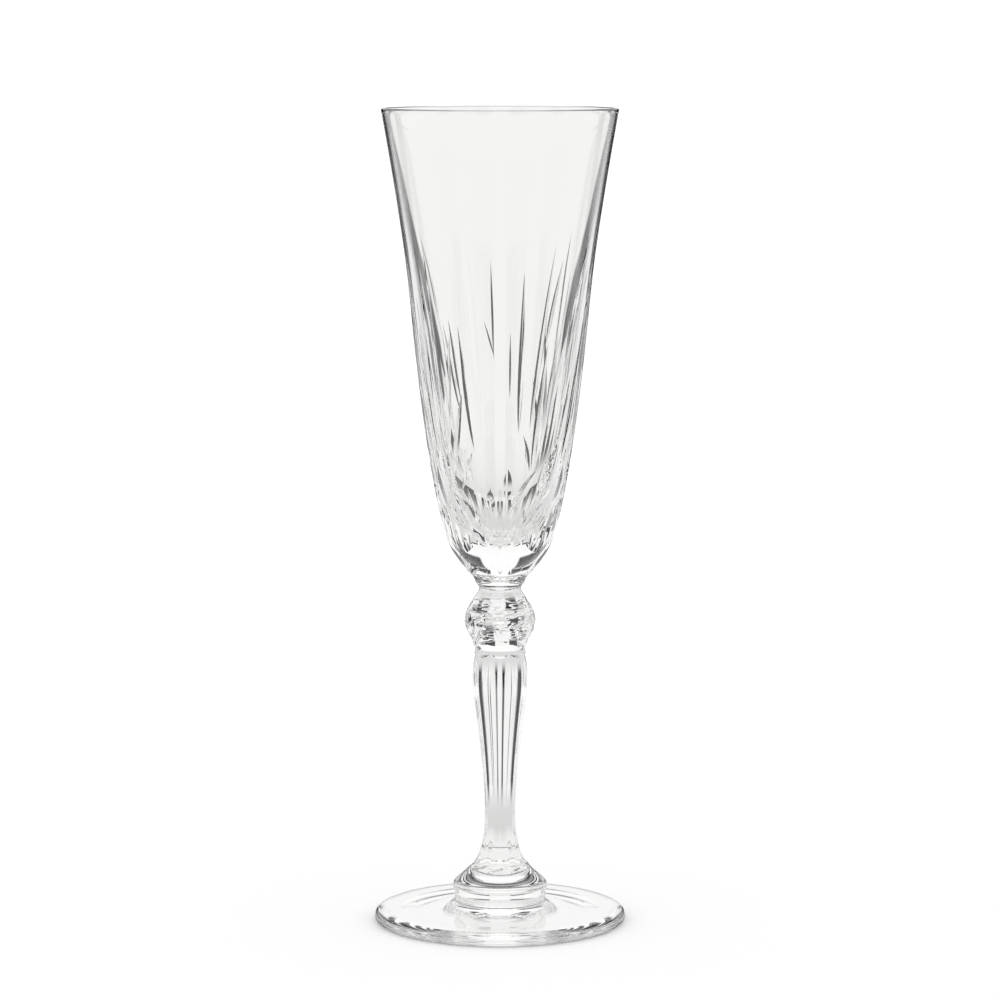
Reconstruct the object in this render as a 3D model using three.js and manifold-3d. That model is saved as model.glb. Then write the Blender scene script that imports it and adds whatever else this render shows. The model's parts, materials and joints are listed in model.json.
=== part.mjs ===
// A champagne flute in cut crystal, as the pieces of glass that a stemware maker forms and fuses:
// bowl, merese, knop, stem, collar and foot. Millimetres, +Z up. The origin is the centre of the
// ring that the foot rests on, and every piece is a body round the Z axis.
import * as THREE from "three";
import { mergeVertices } from "three/addons/utils/BufferGeometryUtils.js";
import Module from "manifold-3d";

// Driving dimensions.
const HEIGHT = 215;
const RIM_RADIUS = 31;
const FOOT_RADIUS = 33.3;
const KNOP_RADIUS = 9.3;
const STEM_RADIUS = 7.8;
const WAIST_RADIUS = 4.25;

// Heights of the flat faces where one piece is fused to the next.
const FOOT_TOP = 5.4;
const COLLAR_TOP = 13.2;
const STEM_TOP = 73;
const KNOP_TOP = 88;
const MERESE_TOP = 90.4;

// Radii of those faces.
const COLLAR_FOOT_WELD = 12.2;
const STEM_COLLAR_WELD = 9.2;
const KNOP_STEM_WELD = 6.5;
const MERESE_KNOP_WELD = 5.9;
const BOWL_MERESE_WELD = 6.3;

// The bowl: a trumpet with a thick round base. Each point is [radius, height].
const LIP_RADIUS = 0.5;
const BOWL_OUTSIDE = [
  [BOWL_MERESE_WELD, MERESE_TOP],
  [8.6, 93.7],
  [10.7, 96.3],
  [12.6, 99.1],
  [13.9, 102],
  [15.4, 107],
  [17.1, 115],
  [20, 133],
  [22.9, 158],
  [24.55, 174],
  [26.85, 190],
  [28.8, 202],
  [30.5, 211.8],
  [RIM_RADIUS, HEIGHT - LIP_RADIUS],
];
const BOWL_INSIDE = [
  [RIM_RADIUS - 2 * LIP_RADIUS, HEIGHT - LIP_RADIUS],
  [29.35, 210.5],
  [27.45, 200.5],
  [25.55, 190],
  [23.6, 179],
  [22.1, 170],
  [19.2, 150],
  [17.5, 138],
  [15.6, 127],
  [13.3, 118],
  [10.8, 111],
  [8.2, 106.2],
  [5.6, 103.6],
  [2.9, 102.5],
  [0, 102.2],
];

// The V-shaped cuts. Each is [angle and height where it starts, angle and height where it ends,
// half its width]. Angles are in degrees round the axis.
const FACET_TILT = 29;
const LIFT = 0.5;
// Two sprays of cuts stand opposite each other, with a clear window between them.
const SPRAYS = 2;
const SPRAY = [
  [25.8, 122.4, 33.5, 156, 0.95],
  [35, 136, 42, 158, 0.65],
  [37, 133, 48.5, 157, 0.85],
  [40, 112.6, 48, 131, 1.45],
  [33, 112.5, 40, 125, 1.1],
  [49, 140, 56, 170, 0.95],
  [52, 150, 64, 183, 0.85],
  [47, 122, 57, 148, 1.25],
  [58, 117, 66, 152, 1.25],
  [64, 142, 75, 174, 0.95],
  [70, 117, 77, 150, 1.3],
  [77, 136, 85, 178, 0.95],
  [83, 116, 87, 146, 1.3],
  [92, 124, 97, 168, 1.0],
  [98, 116, 103, 148, 1.25],
  [108, 128, 105, 166, 1.0],
  [112, 116, 114, 150, 1.25],
  [122, 119, 114, 159, 1.2],
  [129, 120, 122, 171, 1.0],
  [135, 120, 127.5, 182, 0.75],
  [132.8, 118, 145.3, 157.5, 1.2],
  [138, 117.5, 152.5, 142.5, 0.95],
  [146, 116.5, 158, 127, 0.8],
  // Wide cuts that cross under the spray.
  [134, 117.5, 168, 102, 2.1],
  [80, 115.5, 37, 101.5, 1.9],
  [112, 116, 82, 102, 1.8],
];
// Single long needles in the windows.
const NEEDLES = [
  [13.8, 132.5, 14.8, 174, 0.74],
  [22.7, 133.5, 34.8, 181, 0.8],
  [31, 154, 41, 177, 0.7],
  [185, 147, 186.3, 173, 0.4],
  [171.8, 137, 172.2, 154, 0.4],
];
// A ring of short petals round the base.
const PETALS = 16;
const PETAL = [[0, 101, 0, 112, 1.2]];

// The stem: an eight-sided baluster with hollowed panels. Each point is [radius, height].
const PANELS = 8;
const FIRST_ARRIS = 22;
const PANEL_BOTTOM = 14;
const PANEL_TOP = 72.2;
const PANEL_RUN_OUT = 0.5;
const PANEL_HOLLOW = 0.04;
const STEM_OUTSIDE = [
  [STEM_COLLAR_WELD, COLLAR_TOP],
  [7.9, 14.5],
  [6.75, 16],
  [5.6, 18.7],
  [4.85, 21.6],
  [WAIST_RADIUS, 27],
  [4.85, 38.6],
  [6.2, 51.5],
  [7.55, 60.5],
  [STEM_RADIUS, 65],
  [7.4, 69.6],
  [KNOP_STEM_WELD, STEM_TOP],
];
const KNOP_OUTSIDE = [
  [KNOP_STEM_WELD, STEM_TOP],
  [6.9, 74.7],
  [8.3, 77],
  [9.15, 79],
  [KNOP_RADIUS, 81],
  [8.8, 83.1],
  [7.9, 84.9],
  [6.7, 86.8],
  [MERESE_KNOP_WELD, KNOP_TOP],
];
// Groups of slanting grooves on the ball.
const GROOVE_GROUPS = 4;
const FIRST_GROOVE_GROUP = 38;
const GROOVES = [
  [-20, 85.4, 20, 81.6, 0.6],
  [-18.5, 83.5, 17, 79.6, 0.6],
  [-17, 81.6, 14, 77.7, 0.6],
  [-15.5, 79.8, 11, 75.7, 0.6],
];
const MERESE_OUTSIDE = [
  [MERESE_KNOP_WELD, KNOP_TOP],
  [5.62, 88.5],
  [5.5, 89.1],
  [5.7, 89.7],
  [BOWL_MERESE_WELD, MERESE_TOP],
];
const COLLAR_OUTSIDE = [
  [COLLAR_FOOT_WELD, FOOT_TOP],
  [11.9, 6.6],
  [12.1, 7.9],
  [12.55, 9],
  [12.4, 10.1],
  [11.5, 11.2],
  [10.2, 12.3],
  [STEM_COLLAR_WELD, COLLAR_TOP],
];

// The foot: a thick disc with a rounded edge, hollowed a little underneath so that it rests on a ring.
const FOOT_EDGE_RADIUS = 1.55;
const REST_INSIDE = 27;
const REST_OUTSIDE = FOOT_RADIUS - FOOT_EDGE_RADIUS;
const HOLLOW_DEPTH = 1.1;

const ROUND_SEGMENTS = 40;
const STEM_SEGMENTS = 32;

const wasm = await Module();
wasm.setup();

// Points on a smooth line through the given ones, from [radius, height] pairs.
function smooth(points, count) {
  return new THREE.SplineCurve(points.map(([r, z]) => new THREE.Vector2(r, z))).getPoints(count);
}

// The radius at a height on a list of profile points that rise.
function radiusAt(profile, z) {
  const above = profile.findIndex((p) => p.y >= z);
  const [low, high] = [profile[Math.max(above - 1, 0)], profile[above]];
  const share = high.y === low.y ? 0 : (z - low.y) / (high.y - low.y);
  return low.x + share * (high.x - low.x);
}

// Turns a profile of (radius, height) points round the Z axis. LatheGeometry turns round Y.
function turned(profile, segments) {
  return new THREE.LatheGeometry(profile, segments).rotateX(Math.PI / 2);
}

// A closed profile for a solid piece: from the axis, up its outside, and back to the axis.
function solidProfile(outside) {
  const bottom = outside[0];
  const top = outside[outside.length - 1];
  return [new THREE.Vector2(0, bottom.y), ...outside, new THREE.Vector2(0, top.y)];
}

function piece(name, geometry) {
  const crystal = new THREE.MeshStandardMaterial({ color: 0xf0f1ee, roughness: 0.03, metalness: 0 });
  const mesh = new THREE.Mesh(geometry, crystal);
  mesh.name = name;
  return mesh;
}

function toSolid(geometry) {
  const bare = geometry.clone();
  bare.deleteAttribute("normal");
  bare.deleteAttribute("uv");
  const merged = mergeVertices(bare, 1e-4);
  return new wasm.Manifold(
    new wasm.Mesh({
      numProp: 3,
      vertProperties: merged.attributes.position.array,
      triVerts: new Uint32Array(merged.index.array),
    }),
  );
}

function toGeometry(solid) {
  const mesh = solid.getMesh();
  const geometry = new THREE.BufferGeometry();
  geometry.setAttribute("position", new THREE.BufferAttribute(mesh.vertProperties, 3));
  geometry.setIndex(new THREE.BufferAttribute(mesh.triVerts, 1));
  return geometry;
}

// The blade of one V-shaped cut: its edge dips below the surface in an arc, so the cut is widest and
// deepest at its middle and ends in a point at both ends.
function blade([startAngle, startZ, endAngle, endZ, halfWidth], turn, profile) {
  const stations = 6;
  const slope = Math.tan(THREE.MathUtils.degToRad(FACET_TILT));
  const positions = [];
  const along = new THREE.Vector3();
  const side = new THREE.Vector3();
  const at = (share, lift) => {
    const angle = THREE.MathUtils.degToRad(turn + startAngle + share * (endAngle - startAngle));
    const z = startZ + share * (endZ - startZ);
    const r = radiusAt(profile, z) + lift;
    return new THREE.Vector3(r * Math.sin(angle), -r * Math.cos(angle), z);
  };
  const overrun = 0.08;
  for (let i = 0; i < stations; i++) {
    const share = -overrun + ((1 + 2 * overrun) * i) / (stations - 1);
    const depth = halfWidth * slope * (1 - (2 * share - 1) ** 2);
    const edge = at(share, -depth);
    const back = at(share, LIFT);
    along.subVectors(at(share + 0.01, 0), at(share - 0.01, 0)).normalize();
    side.subVectors(back, edge).cross(along).normalize();
    const reach = Math.max(depth + LIFT, 0.05) / slope;
    const left = back.clone().addScaledVector(side, -reach);
    const right = back.clone().addScaledVector(side, reach);
    positions.push(...edge.toArray(), ...left.toArray(), ...right.toArray());
  }
  const index = [];
  for (let i = 0; i < stations - 1; i++) {
    for (let k = 0; k < 3; k++) {
      const [a, b] = [3 * i + k, 3 * i + ((k + 1) % 3)];
      index.push(a, a + 3, b, b, a + 3, b + 3);
    }
  }
  const last = 3 * (stations - 1);
  index.push(0, 1, 2, last, last + 2, last + 1);
  const geometry = new THREE.BufferGeometry();
  geometry.setAttribute("position", new THREE.Float32BufferAttribute(positions, 3));
  geometry.setIndex(index);
  return toSolid(geometry);
}

// One blade for every cut, repeated evenly round the axis.
function blades(cuts, repeats, first, profile) {
  const made = [];
  for (let i = 0; i < repeats; i++) {
    for (const cut of cuts) made.push(blade(cut, first + (i * 360) / repeats, profile));
  }
  return made;
}

// The bowl, with its lip rounded and its pattern of cuts taken out of the outside.
function bowl() {
  const outside = smooth(BOWL_OUTSIDE, 15);
  const inside = smooth(BOWL_INSIDE, 12);
  const lip = new THREE.Path();
  lip.absarc(RIM_RADIUS - LIP_RADIUS, HEIGHT - LIP_RADIUS, LIP_RADIUS, 0, Math.PI, false);
  const lipPoints = lip.getPoints(3).slice(1, -1);
  const profile = [new THREE.Vector2(0, MERESE_TOP), ...outside, ...lipPoints, ...inside];
  const tools = [
    ...blades(SPRAY, SPRAYS, 0, outside),
    ...blades(NEEDLES, 1, 0, outside),
    ...blades(PETAL, PETALS, 0, outside),
  ];
  const body = toSolid(turned(profile, ROUND_SEGMENTS));
  return piece("bowl", toGeometry(body.subtract(wasm.Manifold.union(tools))));
}

// The ball, with its groups of grooves.
function knop() {
  const outside = smooth(KNOP_OUTSIDE, 11);
  const body = toSolid(turned(solidProfile(outside), ROUND_SEGMENTS));
  const tools = blades(GROOVES, GROOVE_GROUPS, FIRST_GROOVE_GROUP, outside);
  return piece("knop", toGeometry(body.subtract(wasm.Manifold.union(tools))));
}

// How far in from the round outline the hollowed panels stand, at an angle: 1 on an arris, less between.
function panelShare(angle) {
  const width = (2 * Math.PI) / PANELS;
  const offset = angle - THREE.MathUtils.degToRad(FIRST_ARRIS);
  const within = offset - width * Math.floor(offset / width + 1e-6) - width / 2;
  const flat = Math.cos(width / 2) / Math.cos(within);
  return flat - PANEL_HOLLOW * Math.cos((Math.PI * within) / width) ** 2;
}

// The stem: turned round, then pressed in between its arrises, with the panels stopping short of
// both ends so that the fused faces are round.
function stem() {
  const heights = [COLLAR_TOP, PANEL_BOTTOM, PANEL_BOTTOM + PANEL_RUN_OUT];
  const rows = 14;
  const [first, last] = [PANEL_BOTTOM + PANEL_RUN_OUT, PANEL_TOP - PANEL_RUN_OUT];
  for (let i = 1; i <= rows; i++) heights.push(first + ((last - first) * i) / rows);
  heights.push(PANEL_TOP, STEM_TOP);
  const fine = smooth(STEM_OUTSIDE, 200);
  const outside = heights.map((z) => new THREE.Vector2(radiusAt(fine, z), z));
  outside[0].x = STEM_COLLAR_WELD;
  outside[outside.length - 1].x = KNOP_STEM_WELD;
  const geometry = turned(solidProfile(outside), STEM_SEGMENTS);
  geometry.rotateZ(THREE.MathUtils.degToRad(FIRST_ARRIS));
  const position = geometry.attributes.position;
  for (let i = 0; i < position.count; i++) {
    const [x, y, z] = [position.getX(i), position.getY(i), position.getZ(i)];
    if (z > PANEL_BOTTOM + 0.01 && z < PANEL_TOP - 0.01) {
      const share = panelShare(Math.atan2(x, -y));
      position.setXY(i, x * share, y * share);
    }
  }
  return piece("stem", geometry);
}

function solidPiece(name, outline, count) {
  return piece(name, turned(solidProfile(smooth(outline, count)), ROUND_SEGMENTS));
}

// The foot: flat ring underneath, rounded edge, and a top that rises in a fillet to the collar.
function foot() {
  const outline = new THREE.Path();
  outline.moveTo(0, HOLLOW_DEPTH);
  outline.quadraticCurveTo(REST_INSIDE * 0.75, HOLLOW_DEPTH, REST_INSIDE, 0);
  outline.lineTo(REST_OUTSIDE, 0);
  outline.absarc(REST_OUTSIDE, FOOT_EDGE_RADIUS, FOOT_EDGE_RADIUS, -Math.PI / 2, Math.PI / 3, false);
  outline.quadraticCurveTo(27, 3.4, 17.5, 3.9);
  outline.quadraticCurveTo(13.2, 4.1, COLLAR_FOOT_WELD, FOOT_TOP);
  outline.lineTo(0, FOOT_TOP);
  return piece("foot", turned(outline.getPoints(4), ROUND_SEGMENTS));
}

const flute = new THREE.Group();
flute.add(bowl());
flute.add(solidPiece("merese", MERESE_OUTSIDE, 4));
flute.add(knop());
flute.add(stem());
flute.add(solidPiece("collar", COLLAR_OUTSIDE, 9));
flute.add(foot());

export default flute;
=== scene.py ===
"""A cut crystal champagne flute, as six fused pieces of glass, on a pale floor in a bright studio."""

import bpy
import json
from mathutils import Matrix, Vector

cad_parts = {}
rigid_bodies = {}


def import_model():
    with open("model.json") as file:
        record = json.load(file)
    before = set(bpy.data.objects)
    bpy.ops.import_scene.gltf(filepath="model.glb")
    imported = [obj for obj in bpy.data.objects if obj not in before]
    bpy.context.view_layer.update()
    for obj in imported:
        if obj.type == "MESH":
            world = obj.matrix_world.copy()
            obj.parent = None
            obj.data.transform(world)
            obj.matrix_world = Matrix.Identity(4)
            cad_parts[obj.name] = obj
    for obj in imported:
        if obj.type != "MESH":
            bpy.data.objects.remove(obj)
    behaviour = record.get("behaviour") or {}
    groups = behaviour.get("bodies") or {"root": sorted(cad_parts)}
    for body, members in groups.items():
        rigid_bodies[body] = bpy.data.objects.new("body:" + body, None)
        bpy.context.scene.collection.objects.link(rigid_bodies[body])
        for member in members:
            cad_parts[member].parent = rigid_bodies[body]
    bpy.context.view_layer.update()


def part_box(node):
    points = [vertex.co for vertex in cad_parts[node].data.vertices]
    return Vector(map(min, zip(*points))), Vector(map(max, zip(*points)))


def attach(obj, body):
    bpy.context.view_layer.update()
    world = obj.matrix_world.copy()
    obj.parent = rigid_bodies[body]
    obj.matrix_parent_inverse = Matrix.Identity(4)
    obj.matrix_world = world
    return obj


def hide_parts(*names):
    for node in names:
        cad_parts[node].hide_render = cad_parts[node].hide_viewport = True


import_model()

import json
import math

import bpy
import numpy as np

MM = 0.001

# The heights at which one piece is fused to the next, the height of the glass and the radius of its
# foot, in millimetres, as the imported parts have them.
FOOT_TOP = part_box("foot")[1].z / MM
COLLAR_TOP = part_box("collar")[1].z / MM
STEM_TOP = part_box("stem")[1].z / MM
KNOP_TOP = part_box("knop")[1].z / MM
MERESE_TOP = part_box("merese")[1].z / MM
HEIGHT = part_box("bowl")[1].z / MM
FOOT_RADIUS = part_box("foot")[1].x / MM

# The radius of each face where two pieces are fused.
COLLAR_FOOT_WELD = 12.2
STEM_COLLAR_WELD = 9.2
KNOP_STEM_WELD = 6.5
MERESE_KNOP_WELD = 5.9
BOWL_MERESE_WELD = 6.3

# Material slots that every piece has, in this order.
SKIN, CUT, WELD = 0, 1, 2


# ---------------------------------------------------------------- lines

def spline(points, step):
    """A natural cubic spline through (radius, height) points, sampled about every step millimetres."""
    p = np.array(points, float)
    chord = np.hypot(*np.diff(p, axis=0).T)
    t = np.concatenate([[0], np.cumsum(np.sqrt(chord) * math.sqrt(chord.mean()))])
    n = len(p)
    h = np.diff(t)
    matrix = np.eye(n)
    right = np.zeros((n, 2))
    for i in range(1, n - 1):
        matrix[i, i - 1 : i + 2] = [h[i - 1], 2 * (h[i - 1] + h[i]), h[i]]
        right[i] = 6 * ((p[i + 1] - p[i]) / h[i] - (p[i] - p[i - 1]) / h[i - 1])
    bend = np.linalg.solve(matrix, right)
    out = []
    for i in range(n - 1):
        count = max(2, int(round(chord[i] / step)))
        for k in range(count):
            b = k / count * h[i]
            a = h[i] - b
            out.append(
                (bend[i] * a**3 + bend[i + 1] * b**3) / (6 * h[i])
                + (p[i] / h[i] - bend[i] * h[i] / 6) * a
                + (p[i + 1] / h[i] - bend[i + 1] * h[i] / 6) * b
            )
    out.append(p[-1])
    return np.array(out)


def radius_at(line, z):
    """The radius of a line at a height. The heights of the line only go up."""
    return float(np.interp(z, line[:, 1], line[:, 0]))


# ---------------------------------------------------------------- meshes

def new_mesh(name, verts_mm, faces, slots):
    mesh = bpy.data.meshes.new(name)
    mesh.from_pydata((np.asarray(verts_mm) * MM).tolist(), [], faces)
    mesh.polygons.foreach_set("material_index", np.asarray(slots, np.int32))
    mesh.polygons.foreach_set("use_smooth", np.ones(len(faces), bool))
    mesh.update()
    return mesh


def ring_mesh(name, rings, first_end, last_end):
    """Skins a stack of rings, each an (n, 3) array in millimetres, in their order.
    An end given as None is closed with one flat weld face, and an end given as a height with a fan
    to the point on the axis at that height."""
    n = len(rings[0])
    verts = [v for ring in rings for v in ring]
    faces = []
    slots = []
    for i in range(len(rings) - 1):
        a, b = i * n, (i + 1) * n
        for k in range(n):
            m = (k + 1) % n
            faces.append((a + k, a + m, b + m, b + k))
            slots.append(SKIN)
    ends = ((first_end, 0, True), (last_end, (len(rings) - 1) * n, False))
    for end, first, flipped in ends:
        loop = list(range(first, first + n))
        if flipped:
            loop.reverse()
        if end is None:
            faces.append(tuple(loop))
            slots.append(WELD)
        else:
            verts.append(np.array([0.0, 0.0, end]))
            tip = len(verts) - 1
            for k in range(n):
                faces.append((loop[k], loop[(k + 1) % n], tip))
                slots.append(SKIN)
    return new_mesh(name, verts, faces, slots)


def circle(radius, z, angles):
    """A ring of points. Angles start at the front, -Y, and go towards +X."""
    ones = np.ones_like(angles)
    return np.stack([radius * np.sin(angles), -radius * np.cos(angles), z * ones], axis=1)


# ---------------------------------------------------------------- cuts

# A blade has this many sections along its cut. Its back stands this far out of the surface, and no
# section is lower than LEAST_BLADE.
BLADE_STATIONS = 22
BLADE_LIFT = 1.0
LEAST_BLADE = 0.02
# How far a blade runs on past each end of its cut, as a share of the cut, and how steeply it rises.
BLADE_OVERRUN = 0.03
BLADE_RISE = 2.5
# Half the height over which the slope of the profile is measured, and half the share of the cut
# over which its direction is.
SLOPE_SPAN = 0.3
COURSE_SPAN = 0.01


def blade(cut, turn, line):
    """The V-shaped tool of one cut. A cut runs on the surface from one (angle, height) to another,
    and is turned round the axis by turn degrees. Its edge dips below the surface in an arc, so that
    the cut starts and ends in a point."""
    (a0, z0), (a1, z1), half_width, tilt, peak = cut
    spread = 1 / math.tan(math.radians(tilt))
    depth = half_width / spread
    power = math.log(0.5) / math.log(peak)
    share = np.linspace(-BLADE_OVERRUN, 1 + BLADE_OVERRUN, BLADE_STATIONS)

    def place(s, rise):
        angle = math.radians(turn + a0 + s * (a1 - a0))
        z = z0 + s * (z1 - z0)
        low = np.array([radius_at(line, z - SLOPE_SPAN), z - SLOPE_SPAN])
        high = np.array([radius_at(line, z + SLOPE_SPAN), z + SLOPE_SPAN])
        along = (high - low) / np.linalg.norm(high - low)
        r = radius_at(line, z) + rise * along[1]
        z = z - rise * along[0]
        return np.array([r * math.sin(angle), -r * math.cos(angle), z])

    verts = []
    for s in share:
        inside = min(max(s, 0), 1)
        d = depth * math.sin(math.pi * inside**power)
        d -= depth * BLADE_RISE * abs(s - inside)
        edge = place(s, -d)
        back = place(s, BLADE_LIFT)
        ahead = place(s + COURSE_SPAN, 0) - place(s - COURSE_SPAN, 0)
        side = np.cross(back - edge, ahead)
        side /= np.linalg.norm(side)
        reach = max(d + BLADE_LIFT, LEAST_BLADE) * spread
        verts += [edge, back - side * reach, back + side * reach]
    faces = []
    for i in range(BLADE_STATIONS - 1):
        for k in range(3):
            a, b = 3 * i + k, 3 * i + (k + 1) % 3
            faces.append((a, b, b + 3, a + 3))
    last = 3 * (BLADE_STATIONS - 1)
    faces += [(2, 1, 0), (last, last + 1, last + 2)]
    return verts, faces


FRONT = 0
BACK = 180


def around(count):
    """Turns in degrees, evenly spaced from the front."""
    return [i * 360 / count for i in range(count)]


def cutters(tools, cuts, turns, line):
    """Adds one blade to the collection for every cut at every turn."""
    for turn in turns:
        for cut in cuts:
            verts, faces = blade(cut, turn, line)
            mesh = new_mesh("blade", verts, faces, [CUT] * len(faces))
            face_outward(mesh)
            tools.objects.link(bpy.data.objects.new("blade", with_slots(mesh)))


def face_outward(mesh):
    """Turns the faces over if they point inwards, so that the volume comes out negative."""
    volume = sum(p.center.dot(p.normal) * p.area for p in mesh.polygons)
    if volume < 0:
        mesh.flip_normals()


def tool_group(name):
    group = bpy.data.collections.new(name)
    bpy.context.scene.collection.children.link(group)
    return group


def carve(mesh, group):
    """Takes every blade in the group out of the mesh, and deletes the group."""
    body = bpy.data.objects.new("uncut", mesh)
    bpy.context.scene.collection.objects.link(body)
    cut = body.modifiers.new("cut", "BOOLEAN")
    cut.operation = "DIFFERENCE"
    cut.solver = "MANIFOLD"
    cut.operand_type = "COLLECTION"
    cut.collection = group
    bpy.context.view_layer.update()
    depsgraph = bpy.context.evaluated_depsgraph_get()
    done = bpy.data.meshes.new_from_object(body.evaluated_get(depsgraph))
    bpy.data.objects.remove(body)
    for tool in list(group.objects):
        bpy.data.objects.remove(tool)
    bpy.data.collections.remove(group)
    return done


def mesh_arrays(mesh):
    """The vertices in millimetres, and the slot, corner count, area and normal of every face."""
    faces = len(mesh.polygons)
    co = np.empty(len(mesh.vertices) * 3)
    mesh.vertices.foreach_get("co", co)
    slot = np.empty(faces, np.int32)
    total = np.empty(faces, np.int32)
    area = np.empty(faces)
    flat = np.empty(faces * 3)
    mesh.polygons.foreach_get("material_index", slot)
    mesh.polygons.foreach_get("loop_total", total)
    mesh.polygons.foreach_get("area", area)
    mesh.polygons.foreach_get("normal", flat)
    return co.reshape(-1, 3) / MM, slot, total, area, flat.reshape(-1, 3)


# How many vertices are compared with the profile at a time.
BLOCK = 4000


def profile_normals(co, line):
    """The exact normal of the turned skin at each vertex, from the nearest point of its profile.
    line is the profile in millimetres, with the glass on its left-hand side going along it."""
    r = np.hypot(co[:, 0], co[:, 1])
    tangent = np.gradient(line, axis=0)
    tangent /= np.linalg.norm(tangent, axis=1)[:, None]
    nearest = np.empty(len(co), np.int32)
    for i in range(0, len(co), BLOCK):
        gap = (r[i : i + BLOCK, None] - line[None, :, 0]) ** 2
        gap += (co[i : i + BLOCK, 2][:, None] - line[None, :, 1]) ** 2
        nearest[i : i + BLOCK] = gap.argmin(axis=1)
    out_r = tangent[nearest, 1]
    out_z = -tangent[nearest, 0]
    safe = np.maximum(r, 1e-6)
    return np.stack([co[:, 0] / safe * out_r, co[:, 1] / safe * out_r, out_z], axis=1)


FACET_LIMIT = 14


def true_normals(mesh, line, facet_limit=FACET_LIMIT):
    """Gives the turned skin the exact normals of its profile, and smooths each cut facet along its
    length: faces that meet at less than facet_limit degrees share a normal.
    Without a line the skin is smoothed from its own faces, in the same way as the facets."""
    co, slot, total, area, flat = mesh_arrays(mesh)
    vertex = np.empty(len(mesh.loops), np.int32)
    mesh.loops.foreach_get("vertex_index", vertex)
    face = np.repeat(np.arange(len(total)), total)
    normal = flat[face].copy()
    if line is None:
        smoothed = np.flatnonzero(slot[face] != WELD)
    else:
        smoothed = np.flatnonzero(slot[face] == CUT)
        on_skin = slot[face] == SKIN
        normal[on_skin] = profile_normals(co, line)[vertex[on_skin]]

    order = smoothed[np.argsort(vertex[smoothed], kind="stable")]
    ids, first, count = np.unique(vertex[order], return_index=True, return_counts=True)
    limit = math.cos(math.radians(facet_limit))
    for i in range(len(ids)):
        group = order[first[i] : first[i] + count[i]]
        own = flat[face[group]]
        weight = area[face[group]]
        near = (own @ own.T > limit) * weight[None, :]
        mixed = near @ own
        length = np.linalg.norm(mixed, axis=1)
        good = length > 1e-12
        mixed[good] /= length[good][:, None]
        normal[group] = np.where(good[:, None], mixed, own)
    mesh.normals_split_custom_set(normal.tolist())


# ---------------------------------------------------------------- shader helpers

class Tree:
    """A short way to write a node tree. node() returns the node that it adds, and the calls after
    put() return the output of what they add."""

    def __init__(self, tree):
        self.tree = tree
        tree.nodes.clear()

    def node(self, kind, **settings):
        made = self.tree.nodes.new(kind)
        for key, value in settings.items():
            setattr(made, key, value)
        return made

    def put(self, socket, value):
        if isinstance(value, bpy.types.NodeSocket):
            self.tree.links.new(value, socket)
        else:
            socket.default_value = value

    def math(self, operation, a, b=0.0, c=0.0):
        made = self.node("ShaderNodeMath", operation=operation)
        for socket, value in zip(made.inputs, (a, b, c)):
            self.put(socket, value)
        return made.outputs[0]

    def step(self, value, low, high):
        """0 below low, 1 above high, smooth between."""
        made = self.node("ShaderNodeMapRange", interpolation_type="SMOOTHSTEP")
        self.put(made.inputs["Value"], value)
        self.put(made.inputs["From Min"], low)
        self.put(made.inputs["From Max"], high)
        return made.outputs[0]

    def band(self, value, rise, fall):
        """1 between rise and fall, which are each a pair of values, and 0 outside them."""
        return self.math("SUBTRACT", self.step(value, *rise), self.step(value, *fall))

    def blend(self, share, a, b):
        """a where share is 0 and b where it is 1."""
        made = self.node("ShaderNodeMix", data_type="FLOAT")
        self.put(made.inputs[0], share)
        self.put(made.inputs[2], a)
        self.put(made.inputs[3], b)
        return made.outputs[0]

    def tones(self, value, first, changes):
        """Goes from the first tone to the next one at each change, a (from, to) pair and a tone."""
        tone = first
        for (low, high), beyond in changes:
            tone = self.blend(self.step(value, low, high), tone, beyond)
        return tone


# ---------------------------------------------------------------- materials

CRYSTAL_TINT = (0.992, 0.991, 0.985, 1)
CRYSTAL_IOR = 1.53
# Spots per metre in the haze, and the levels of the noise that count as clear and as hazy.
HAZE_SCALE = 260
HAZE_LEVELS = (0.35, 0.75)


def crystal(name, wave_height, wave_size, hazy_roughness):
    """Clear glass with a faint haze and very low waves, whose height and size are in metres."""
    material = bpy.data.materials.new(name)
    material.use_nodes = True
    t = Tree(material.node_tree)
    glass = t.node("ShaderNodeBsdfPrincipled")
    glass.inputs["Base Color"].default_value = CRYSTAL_TINT
    glass.inputs["IOR"].default_value = CRYSTAL_IOR
    glass.inputs["Transmission Weight"].default_value = 1.0
    where = t.node("ShaderNodeTexCoord").outputs["Object"]
    haze = t.node("ShaderNodeTexNoise")
    t.put(haze.inputs["Vector"], where)
    haze.inputs["Scale"].default_value = HAZE_SCALE
    haze.inputs["Detail"].default_value = 3
    share = t.step(haze.outputs["Fac"], *HAZE_LEVELS)
    t.put(glass.inputs["Roughness"], t.blend(share, 0.0, hazy_roughness))
    wave = t.node("ShaderNodeTexNoise")
    t.put(wave.inputs["Vector"], where)
    wave.inputs["Scale"].default_value = 1 / wave_size
    wave.inputs["Detail"].default_value = 1
    bump = t.node("ShaderNodeBump")
    bump.inputs["Strength"].default_value = 1.0
    bump.inputs["Distance"].default_value = wave_height
    t.put(bump.inputs["Height"], wave.outputs["Fac"])
    t.put(glass.inputs["Normal"], bump.outputs["Normal"])
    out = t.node("ShaderNodeOutputMaterial")
    t.put(out.inputs["Surface"], glass.outputs["BSDF"])
    return material


def fused():
    """Nothing bends light where two pieces are one glass, so the faces between them show nothing."""
    material = bpy.data.materials.new("fused_glass")
    material.use_nodes = True
    t = Tree(material.node_tree)
    clear = t.node("ShaderNodeBsdfTransparent")
    out = t.node("ShaderNodeOutputMaterial")
    t.put(out.inputs["Surface"], clear.outputs["BSDF"])
    return material


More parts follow.
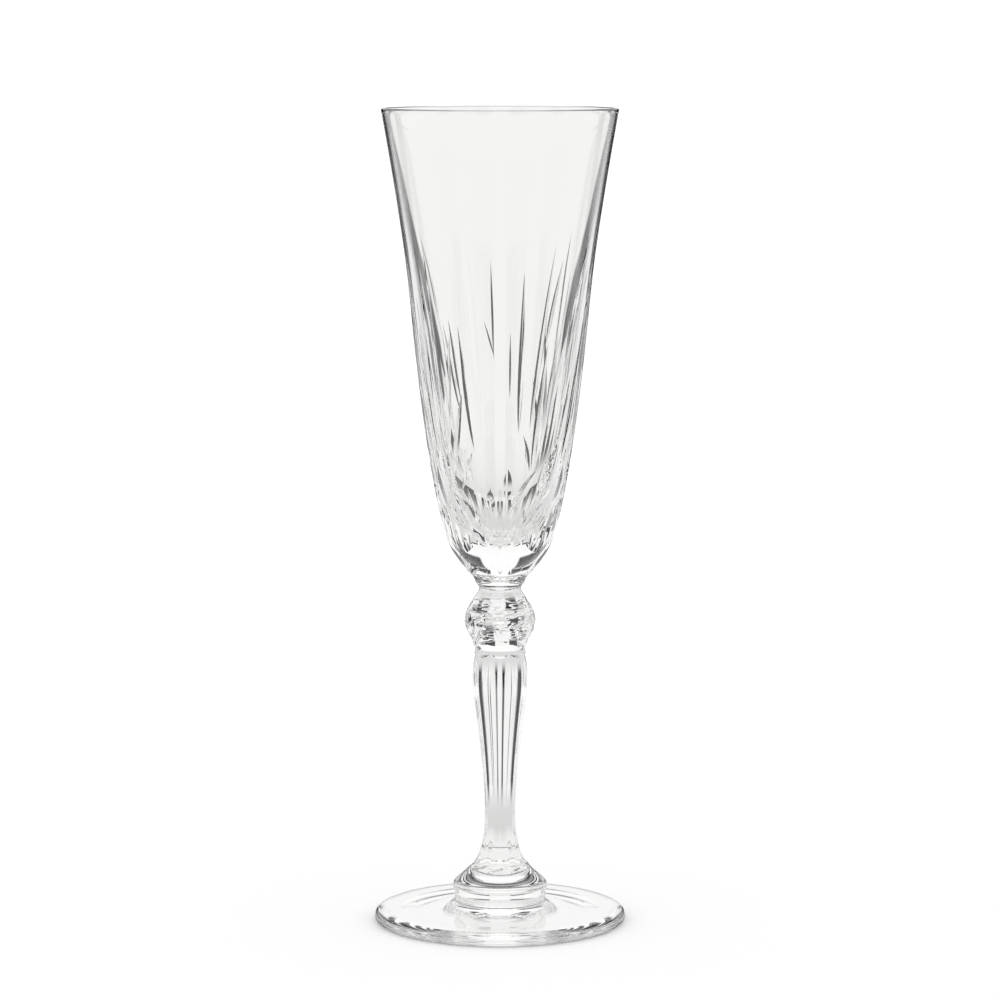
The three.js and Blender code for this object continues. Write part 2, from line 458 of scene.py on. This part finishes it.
SKIN_GLASS = crystal("polished_crystal", 0.00002, 0.012, 0.012)
CUT_GLASS = crystal("cut_crystal", 0.00001, 0.004, 0.02)
FUSED = fused()


def with_slots(mesh):
    """Gives a mesh the three materials, in the order of SKIN, CUT and WELD."""
    for material in (SKIN_GLASS, CUT_GLASS, FUSED):
        mesh.materials.append(material)
    return mesh


def show(name, mesh, node):
    """Puts a finished mesh in the scene in place of its CAD node."""
    mesh.name = name
    piece = bpy.data.objects.new(name, mesh)
    bpy.context.scene.collection.objects.link(piece)
    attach(piece, "root")
    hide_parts(node)


def even(count):
    """Angles in radians, evenly spaced."""
    return np.arange(count) * 2 * math.pi / count


TURNED_SIDES = 192


def turned(name, outline, step, fine_step):
    """A piece turned from an outline, with a weld face at both ends. The rows of its mesh are a step
    apart, and its normals are those of the outline sampled more finely."""
    rings = [circle(r, z, even(TURNED_SIDES)) for r, z in spline(outline, step)]
    mesh = with_slots(ring_mesh(name, rings, None, None))
    true_normals(mesh, spline(outline, fine_step))
    return mesh


# ---------------------------------------------------------------- bowl

BOWL_OUTSIDE = [
    (BOWL_MERESE_WELD, MERESE_TOP), (7.1, 92.2), (8.6, 93.7), (10.7, 96.3), (12.6, 99.1),
    (13.9, 102), (15.4, 107), (17.1, 115), (18.6, 123.5), (20.0, 133), (21.6, 146),
    (22.9, 158), (24.55, 174), (26.85, 190), (28.8, 202), (30.5, 211.8), (30.98, 214.5),
]
BOWL_INSIDE = [
    (30.02, 214.5), (29.35, 210.5), (27.45, 200.5), (25.55, 190), (23.6, 179), (22.1, 170),
    (20.8, 161), (19.2, 150), (17.5, 138), (15.6, 127), (13.3, 118), (10.8, 111),
    (8.2, 106.2), (5.6, 103.6), (2.9, 102.5), (0, 102.2),
]
# Each cut: (angle, height) at its foot, the same at its tip, its half width, the tilt of its facets,
# and where along it the widest point is. Angles and tilts are in degrees, and angles start at the
# front and go towards +X. A spray covers most of one half of the bowl.
SPRAY = [
    ((25.8, 122.4), (33.5, 156), 0.95, 28, 0.42),
    ((35, 136), (42, 158), 0.65, 28, 0.45),
    ((37, 133), (48.5, 157), 0.85, 29, 0.50),
    ((40, 112.6), (48, 131), 1.45, 33, 0.55),
    ((33, 112.5), (40, 125), 1.10, 33, 0.50),
    ((49, 140), (56, 170), 0.95, 28, 0.45),
    ((52, 150), (64, 183), 0.85, 27, 0.40),
    ((47, 122), (57, 148), 1.25, 31, 0.50),
    ((58, 117), (66, 152), 1.25, 31, 0.50),
    ((64, 142), (75, 174), 0.95, 28, 0.45),
    ((70, 117), (77, 150), 1.30, 31, 0.45),
    ((77, 136), (85, 178), 0.95, 28, 0.40),
    ((83, 116), (87, 146), 1.30, 31, 0.50),
    ((92, 124), (97, 168), 1.00, 28, 0.45),
    ((98, 116), (103, 148), 1.25, 31, 0.50),
    ((108, 128), (105, 166), 1.00, 28, 0.45),
    ((112, 116), (114, 150), 1.25, 31, 0.50),
    ((122, 119), (114, 159), 1.20, 31, 0.50),
    ((129, 120), (122, 171), 1.00, 28, 0.45),
    ((135, 120), (127.5, 182), 0.75, 27, 0.40),
    ((132.8, 118), (145.3, 157.5), 1.20, 30, 0.50),
    ((138, 117.5), (152.5, 142.5), 0.95, 29, 0.50),
    ((146, 116.5), (158, 127), 0.80, 29, 0.50),
    ((134, 117.5), (168, 102), 2.2, 31, 0.50),
    ((80, 115.5), (37, 101.5), 2.0, 31, 0.50),
    ((112, 116), (82, 102), 1.9, 31, 0.50),
    ((171.5, 117), (170, 106.5), 1.7, 15, 0.45),
]
# Single cuts: three on the front and three thin ones on the back.
NEEDLES = [
    ((13.8, 132.5), (14.8, 174), 0.74, 27, 0.36),
    ((22.7, 133.5), (34.8, 181), 0.80, 27, 0.36),
    ((31, 154), (41, 177), 0.70, 27, 0.40),
    ((185, 147), (186.3, 173), 0.30, 24, 0.45),
    ((184.5, 147.5), (192, 157), 0.22, 22, 0.45),
    ((171.8, 137), (172.2, 154), 0.28, 24, 0.45),
]
# The petals round the base.
BASE_CUT = ((0, 101), (0, 112), 1.25, 15, 0.40)
BASE_CUTS = 32
SPRAYS = 2
BOWL_SIDES = 240
BOWL_STEP = 1.2
BOWL_FINE_STEP = 0.1
LIP_POINTS = 11
# The rows of a mesh stop this far from the axis, and a fan closes what is left.
FAN_RADIUS = 0.3


def through_axis(points):
    """Points that run in to the axis, and their mirror image, so that a spline crosses it level."""
    return points + [(-r, z) for r, z in reversed(points[:-1])]


def bowl_lip():
    """Half an ellipse over the rim, from the outside to the inside."""
    (outer, z), (inner, _) = BOWL_OUTSIDE[-1], BOWL_INSIDE[0]
    turn = np.linspace(0, math.pi, LIP_POINTS + 2)[1:-1]
    middle = (outer + inner) / 2
    half = (outer - inner) / 2
    return np.stack([middle + half * np.cos(turn), z + (HEIGHT - z) * np.sin(turn)], axis=1)


def bowl():
    outside = spline(BOWL_OUTSIDE, BOWL_STEP)
    inside = spline(through_axis(BOWL_INSIDE), BOWL_STEP)
    inside = inside[inside[:, 0] > FAN_RADIUS]
    line = np.concatenate([outside, bowl_lip(), inside])
    angles = even(BOWL_SIDES)
    rings = [circle(r, z, angles) for r, z in line]
    mesh = with_slots(ring_mesh("bowl_blank", rings, None, BOWL_INSIDE[-1][1]))
    tools = tool_group("bowl_tools")
    cutters(tools, SPRAY, around(SPRAYS), outside)
    cutters(tools, NEEDLES, [FRONT], outside)
    cutters(tools, [BASE_CUT], around(BASE_CUTS), outside)
    mesh = carve(mesh, tools)
    fine_out = spline(BOWL_OUTSIDE, BOWL_FINE_STEP)
    fine_in = spline(through_axis(BOWL_INSIDE), BOWL_FINE_STEP)
    fine_in = fine_in[fine_in[:, 0] > -FAN_RADIUS]
    true_normals(mesh, np.concatenate([fine_out, bowl_lip(), fine_in]))
    return mesh


# ---------------------------------------------------------------- knop

KNOP_OUTSIDE = [
    (KNOP_STEM_WELD, STEM_TOP), (6.95, 74.2), (7.7, 76), (8.7, 77.9), (9.25, 80), (9.2, 81.6),
    (8.75, 83.2), (7.9, 84.8), (6.8, 86.6), (MERESE_KNOP_WELD, KNOP_TOP),
]


def row_of_cuts(count, start, start_step, end, end_step, shape):
    """Cuts of one shape side by side: each starts and ends one step on from the last. The shape is
    the half width, the tilt of the facets, and where along the cut the widest point is."""
    cuts = []
    for i in range(count):
        first = (start[0] + i * start_step[0], start[1] + i * start_step[1])
        last = (end[0] + i * end_step[0], end[1] + i * end_step[1])
        cuts.append((first, last, *shape))
    return cuts


# Long slanting cuts on the sides and the back, short ones low at the front, and nearly level ones
# that go across the back.
LONG_CUTS = row_of_cuts(5, (-26, 83.4), (7, 0), (14, 74.2), (7, 0.5), (0.55, 34, 0.5))
LONG_CUT_TURNS = [-68, 112, 202]
SHORT_CUTS = row_of_cuts(5, (20, 80.4), (5, -1.3), (31, 77.9), (4.5, -1.1), (0.5, 34, 0.5))
BACK_CUTS = row_of_cuts(7, (-30, 85.3), (0, -1.4), (28, 83.9), (0, -1.4), (0.75, 30, 0.5))
# The ball is a little wavy. Each wave: how many go round, how far it twists in radians for each
# millimetre up, where it starts in radians, and its height in millimetres.
WAVES = [(2, 3.1, 0.3, 0.05), (-7, 2.0, 0.8, 0.06), (11, 2.6, 2.0, 0.035), (3, -4.0, 1.0, 0.04)]
KNOP_SIDES = 256
KNOP_STEP = 0.3
KNOP_FACET_LIMIT = 16


def knop():
    outside = spline(KNOP_OUTSIDE, KNOP_STEP)
    angles = even(KNOP_SIDES)
    rings = []
    for r, z in outside:
        # The waves are full at half the height of the ball, and none at its two weld faces.
        share = math.sin(math.pi * (z - STEM_TOP) / (KNOP_TOP - STEM_TOP))
        wave = 0
        for count, twist, start, height in WAVES:
            wave = wave + height * np.sin(count * angles + twist * z + start)
        ring = circle(1.0, z, angles)
        ring[:, :2] *= (r + share * wave)[:, None]
        rings.append(ring)
    mesh = with_slots(ring_mesh("knop_blank", rings, None, None))
    tools = tool_group("knop_tools")
    cutters(tools, LONG_CUTS, LONG_CUT_TURNS, outside)
    cutters(tools, SHORT_CUTS, [FRONT], outside)
    cutters(tools, BACK_CUTS, [BACK], outside)
    mesh = carve(mesh, tools)
    true_normals(mesh, None, KNOP_FACET_LIMIT)
    return mesh


# ---------------------------------------------------------------- merese

MERESE_OUTSIDE = [
    (MERESE_KNOP_WELD, KNOP_TOP), (5.62, 88.5), (5.5, 89.1), (5.7, 89.7), (BOWL_MERESE_WELD, MERESE_TOP),
]


def merese():
    return turned("merese_blank", MERESE_OUTSIDE, step=0.15, fine_step=0.05)


# ---------------------------------------------------------------- stem

STEM_OUTSIDE = [
    (STEM_COLLAR_WELD, COLLAR_TOP), (8.3, 14.1), (7.4, 15.2), (6.45, 16.7), (5.75, 18.3), (5.1, 20.8),
    (4.6, 23.6), (4.32, 27), (4.4, 32), (4.85, 38.6), (5.45, 45), (6.25, 51.5), (7.15, 58),
    (7.7, 62), (7.85, 65), (7.75, 67.8), (7.3, 70.2), (6.85, 71.6), (KNOP_STEM_WELD, STEM_TOP),
]
PANELS = 8
# The angle of one arris, in degrees.
FIRST_ARRIS = 22
# How deep a panel is hollowed, as a share of the stem's radius.
HOLLOW = 0.042
# How far the arrises are rounded off, as a share of the depth of a flat panel, and how softly.
ARRIS_ROUND = 0.07
ARRIS_SOFTNESS = 0.003
PANEL_POINTS = 22
# Above 1, the points of a panel crowd towards its arrises, which are narrow.
CROWDING = 1.6
# The panels fade in above the collar at a slant, and fade out under the ball in an arch. All of
# these are heights in millimetres.
PANELS_START = COLLAR_TOP + 1.5
START_SLANT = 0.7
START_FADE = 0.3
PANELS_END = STEM_TOP - 0.35
END_ARCH = 0.96
END_FADE = 0.6
STEM_STEP = 0.25


def smooth_step(share):
    share = np.clip(share, 0, 1)
    return share * share * (3 - 2 * share)


def stem_panel(half, offset):
    """The radius across a panel, as a share of the radius at its arrises."""
    flat = math.cos(half) / np.cos(offset)
    panel = flat - HOLLOW * np.cos(offset / half * math.pi / 2) ** 2
    # A smooth minimum of the panel and top rounds the arrises off.
    top = 1 - ARRIS_ROUND * (1 - math.cos(half))
    return 0.5 * (panel + top - np.sqrt((panel - top) ** 2 + ARRIS_SOFTNESS**2))


def stem():
    half = math.pi / PANELS
    part = np.linspace(-1, 1, PANEL_POINTS + 1)[:-1]
    within = half * np.sign(part) * (1 - (1 - np.abs(part)) ** CROWDING)
    first = math.radians(FIRST_ARRIS) + half
    angles = np.concatenate([first + i * 2 * half + within for i in range(PANELS)])
    offset = np.tile(within, PANELS)
    panel = stem_panel(half, offset)
    slant = START_SLANT * offset / half
    arch = END_ARCH * (1 - (offset / half) ** 2)
    rings = []
    for r, z in spline(STEM_OUTSIDE, STEM_STEP):
        share = smooth_step((z - PANELS_START - slant) / START_FADE)
        share = share * smooth_step((PANELS_END - arch - z) / END_FADE)
        ring = circle(1.0, z, angles)
        scale = r * (1 + (panel - 1) * share)
        ring[:, :2] *= scale[:, None]
        rings.append(ring)
    mesh = with_slots(ring_mesh("stem_blank", rings, None, None))
    sharp_rims(mesh)
    return mesh


def sharp_rims(mesh):
    """Keeps the edge round each flat weld face sharp."""
    rims = set()
    for face in mesh.polygons:
        if face.material_index == WELD:
            rims.update(face.edge_keys)
    for edge in mesh.edges:
        edge.use_edge_sharp = edge.key in rims


# ---------------------------------------------------------------- collar and foot

COLLAR_OUTSIDE = [
    (COLLAR_FOOT_WELD, FOOT_TOP), (11.95, 6.2), (11.9, 7), (12.15, 8), (12.5, 9), (12.5, 9.8),
    (12.1, 10.6), (11.4, 11.3), (10.5, 12.1), (9.8, 12.7), (STEM_COLLAR_WELD, COLLAR_TOP),
]
# The edge of the foot is an arc with this radius, from straight down to so many degrees above level.
FOOT_EDGE = 1.55
FOOT_EDGE_END = 52
FOOT_EDGE_POINTS = 12
FOOT_UPPER = [
    (FOOT_RADIUS - 0.75, 2.9), (31.0, 3.35), (27, 3.6), (22, 3.75), (17.5, 3.95),
    (14.5, 4.3), (13, 4.75), (COLLAR_FOOT_WELD, FOOT_TOP),
]
FOOT_UNDER = [(27, 0.0), (24.5, 0.22), (20, 0.6), (14, 0.95), (7, 1.08), (0, 1.1)]
FOOT_SIDES = 360
FOOT_STEP = 0.8


def collar():
    return turned("collar_blank", COLLAR_OUTSIDE, step=0.2, fine_step=0.05)


def foot_line():
    """From the hollow underneath, round the edge, to the weld face on top."""
    under = spline(through_axis(FOOT_UNDER)[::-1], FOOT_STEP)
    under = under[under[:, 0] > FAN_RADIUS]
    turn = np.linspace(-math.pi / 2, math.radians(FOOT_EDGE_END), FOOT_EDGE_POINTS)
    edge_r = FOOT_RADIUS - FOOT_EDGE + FOOT_EDGE * np.cos(turn)
    edge_z = FOOT_EDGE + FOOT_EDGE * np.sin(turn)
    return np.concatenate([under, np.stack([edge_r, edge_z], axis=1), spline(FOOT_UPPER, FOOT_STEP)[1:]])


def foot():
    angles = even(FOOT_SIDES)
    rings = [circle(r, z, angles) for r, z in foot_line()]
    mesh = with_slots(ring_mesh("foot_blank", rings, FOOT_UNDER[-1][1], None))
    sharp_rims(mesh)
    return mesh


show("crystal_bowl", bowl(), "bowl")
show("crystal_merese", merese(), "merese")
show("crystal_knop", knop(), "knop")
show("crystal_stem", stem(), "stem")
show("crystal_collar", collar(), "collar")
show("crystal_foot", foot(), "foot")


# ---------------------------------------------------------------- floor and studio

# Black flags stand upright round the glass and draw its outlines, with a grey one beside each of the
# near ones. A band is 1 between its two pairs of values. Those of the flags are degrees away from the
# front or the back of the glass, and heights are degrees above level.
NEAR_FLAGS = ((8.5, 9.8), (23.5, 25.5))
FAR_FLAGS = ((51.5, 53.5), (62, 66))
FLAG_HEIGHTS = ((-17, -12), (5, 9))
GREY_FLAG = ((23.5, 25.5), (34, 37))
GREY_FLAG_FOOT = (-12, -6)
GREY_FLAG_STRENGTH = 0.6
# High up the room is dark, except within so many degrees of the front, the back and the two sides.
DARK_HEIGHTS = ((25, 28), (46, 52))
DARK_FROM = (17.5, 20.5)
# Tones are grey levels, where 1 is white, and the walls change tone between two heights.
BELOW_TONE = 0.70
WALL_TONES = [((-24, -8), 0.93), ((3, 22), 1.05), ((62, 70), 0.7)]
BLACK_TONE = 0.02
BACKDROP_TONE = 1.12

FLOOR_RADIUS = 350.0
FLOOR_SIDES = 96
# The floor is a hair below the foot.
FLOOR_DROP = 0.05
FLOOR_WHITE = (0.93, 0.93, 0.93, 1)
# Painted shade on the floor, which glows with it where the glass sees it, by the distance in metres from
# the axis of the glass: a little painted shade under the foot, a darker painted ring further out, a
# painted shadow where the edge of the foot meets the floor, and the painted dark feet of the flags.
UNDER_FOOT_PAINTED_SHADE = 0.88
FLOOR_PAINTED_SHADES = [((0.04, 0.09), 0.68), ((0.12, 0.34), 0.93)]
FOOT_PAINTED_SHADOW = ((0.031, 0.0325), (0.0335, 0.036))
FOOT_PAINTED_SHADOW_TONE = 0.06
FLOOR_PAINTED_FLAGS_FROM = (0.16, 0.34)
FLOOR_PAINTED_FLAG_SHADE = 0.03


def compass(t, x, y):
    """Degrees round the glass, which are 0 behind it, +Y, and 90 at +X."""
    return t.math("DEGREES", t.math("ARCTAN2", x, y))


def black_flags(t, turn):
    """1 where black flags stand round the glass and 0 between them."""
    off = t.math("PINGPONG", turn, 90.0)
    return t.math("ADD", t.band(off, *NEAR_FLAGS), t.band(off, *FAR_FLAGS))


def painted_floor_shade(t):
    """What the glass sees in the floor, which glows there with painted shade: a little painted shade
    under the foot, a painted shadow where the edge of the foot meets the floor, a darker painted ring
    further out, and beyond it the painted dark foot of each flag."""
    place = t.node("ShaderNodeNewGeometry").outputs["Position"]
    away = t.node("ShaderNodeVectorMath", operation="LENGTH")
    t.put(away.inputs[0], place)
    distance = away.outputs["Value"]
    split = t.node("ShaderNodeSeparateXYZ")
    t.put(split.inputs[0], place)
    turn = compass(t, split.outputs[0], split.outputs[1])
    flags = t.math("MULTIPLY", black_flags(t, turn), t.step(distance, *FLOOR_PAINTED_FLAGS_FROM))
    tone = t.tones(distance, UNDER_FOOT_PAINTED_SHADE, FLOOR_PAINTED_SHADES)
    tone = t.blend(t.band(distance, *FOOT_PAINTED_SHADOW), tone, FOOT_PAINTED_SHADOW_TONE)
    return t.blend(flags, tone, FLOOR_PAINTED_FLAG_SHADE)


def floor():
    """A pale disc. The camera sees it plain and lit by the room, and through the glass it glows with the
    painted shade above instead of being lit.
    """
    disc = circle(FLOOR_RADIUS, -FLOOR_DROP, even(FLOOR_SIDES))
    mesh = new_mesh("floor", disc, [tuple(range(FLOOR_SIDES))], [0])
    material = bpy.data.materials.new("pale_floor")
    material.use_nodes = True
    t = Tree(material.node_tree)
    white = t.node("ShaderNodeBsdfDiffuse")
    white.inputs["Color"].default_value = FLOOR_WHITE
    # What the glass sees: the floor glows with painted shade and a painted shadow, in place of light
    # falling on it.
    painted_glow = t.node("ShaderNodeEmission")
    t.put(painted_glow.inputs["Color"], painted_floor_shade(t))
    mix = t.node("ShaderNodeMixShader")
    t.put(mix.inputs[0], t.node("ShaderNodeLightPath").outputs["Is Camera Ray"])
    t.put(mix.inputs[1], painted_glow.outputs[0])
    t.put(mix.inputs[2], white.outputs[0])
    out = t.node("ShaderNodeOutputMaterial")
    t.put(out.inputs["Surface"], mix.outputs[0])
    mesh.materials.append(material)
    disc = bpy.data.objects.new("floor", mesh)
    bpy.context.scene.collection.objects.link(disc)


def studio():
    """Soft light from all round. The camera and the floor see a plain white room, and the glass sees
    it with its tones, its dark corners and the flags."""
    world = bpy.data.worlds.new("studio")
    bpy.context.scene.world = world
    world.use_nodes = True
    t = Tree(world.node_tree)
    split = t.node("ShaderNodeSeparateXYZ")
    t.put(split.inputs[0], t.node("ShaderNodeTexCoord").outputs["Generated"])
    x, y, z = split.outputs
    turn = compass(t, x, y)
    up = t.math("DEGREES", t.math("ARCSINE", z))
    grey = t.band(t.math("PINGPONG", turn, 90.0), *GREY_FLAG)
    grey = t.math("MULTIPLY", grey, t.step(up, *GREY_FLAG_FOOT))
    flags = t.math("MULTIPLY_ADD", grey, GREY_FLAG_STRENGTH, black_flags(t, turn))
    flags = t.math("MULTIPLY", flags, t.band(up, *FLAG_HEIGHTS))
    corners = t.step(t.math("PINGPONG", turn, 45.0), *DARK_FROM)
    corners = t.math("MULTIPLY", t.band(up, *DARK_HEIGHTS), corners)
    tone = t.tones(up, BELOW_TONE, WALL_TONES)
    tone = t.blend(t.math("MAXIMUM", flags, corners), tone, BLACK_TONE)
    paths = t.node("ShaderNodeLightPath").outputs
    plain = t.math("MAXIMUM", paths["Is Camera Ray"], paths["Is Diffuse Ray"])
    tone = t.blend(plain, tone, BACKDROP_TONE)
    light = t.node("ShaderNodeBackground")
    t.put(light.inputs["Color"], tone)
    out = t.node("ShaderNodeOutputWorld")
    t.put(out.inputs["Surface"], light.outputs[0])


# The camera's place in metres, how far it looks down in degrees, and its lens in millimetres.
EYE = (0, -1.030, 0.2362)
LOOK_DOWN = 6.856
LENS = 142.0
SENSOR_WIDTH = 36
CLIP_START = 0.05


def camera():
    lens = bpy.data.cameras.new("camera")
    lens.lens = LENS
    lens.sensor_width = SENSOR_WIDTH
    lens.clip_start = CLIP_START
    eye = bpy.data.objects.new("camera", lens)
    eye.location = EYE
    eye.rotation_euler = (math.radians(90 - LOOK_DOWN), 0, 0)
    bpy.context.scene.collection.objects.link(eye)
    bpy.context.scene.camera = eye


# A ray passes through many faces of glass before it leaves.
GLASS_BOUNCES = 32
GLOSSY_BOUNCES = 16


def light_paths():
    cycles = bpy.context.scene.cycles
    cycles.max_bounces = GLASS_BOUNCES
    cycles.transmission_bounces = GLASS_BOUNCES
    cycles.transparent_max_bounces = GLASS_BOUNCES
    cycles.glossy_bounces = GLOSSY_BOUNCES


floor()
studio()
camera()
light_paths()
bpy.context.scene.view_settings.view_transform = "Standard"
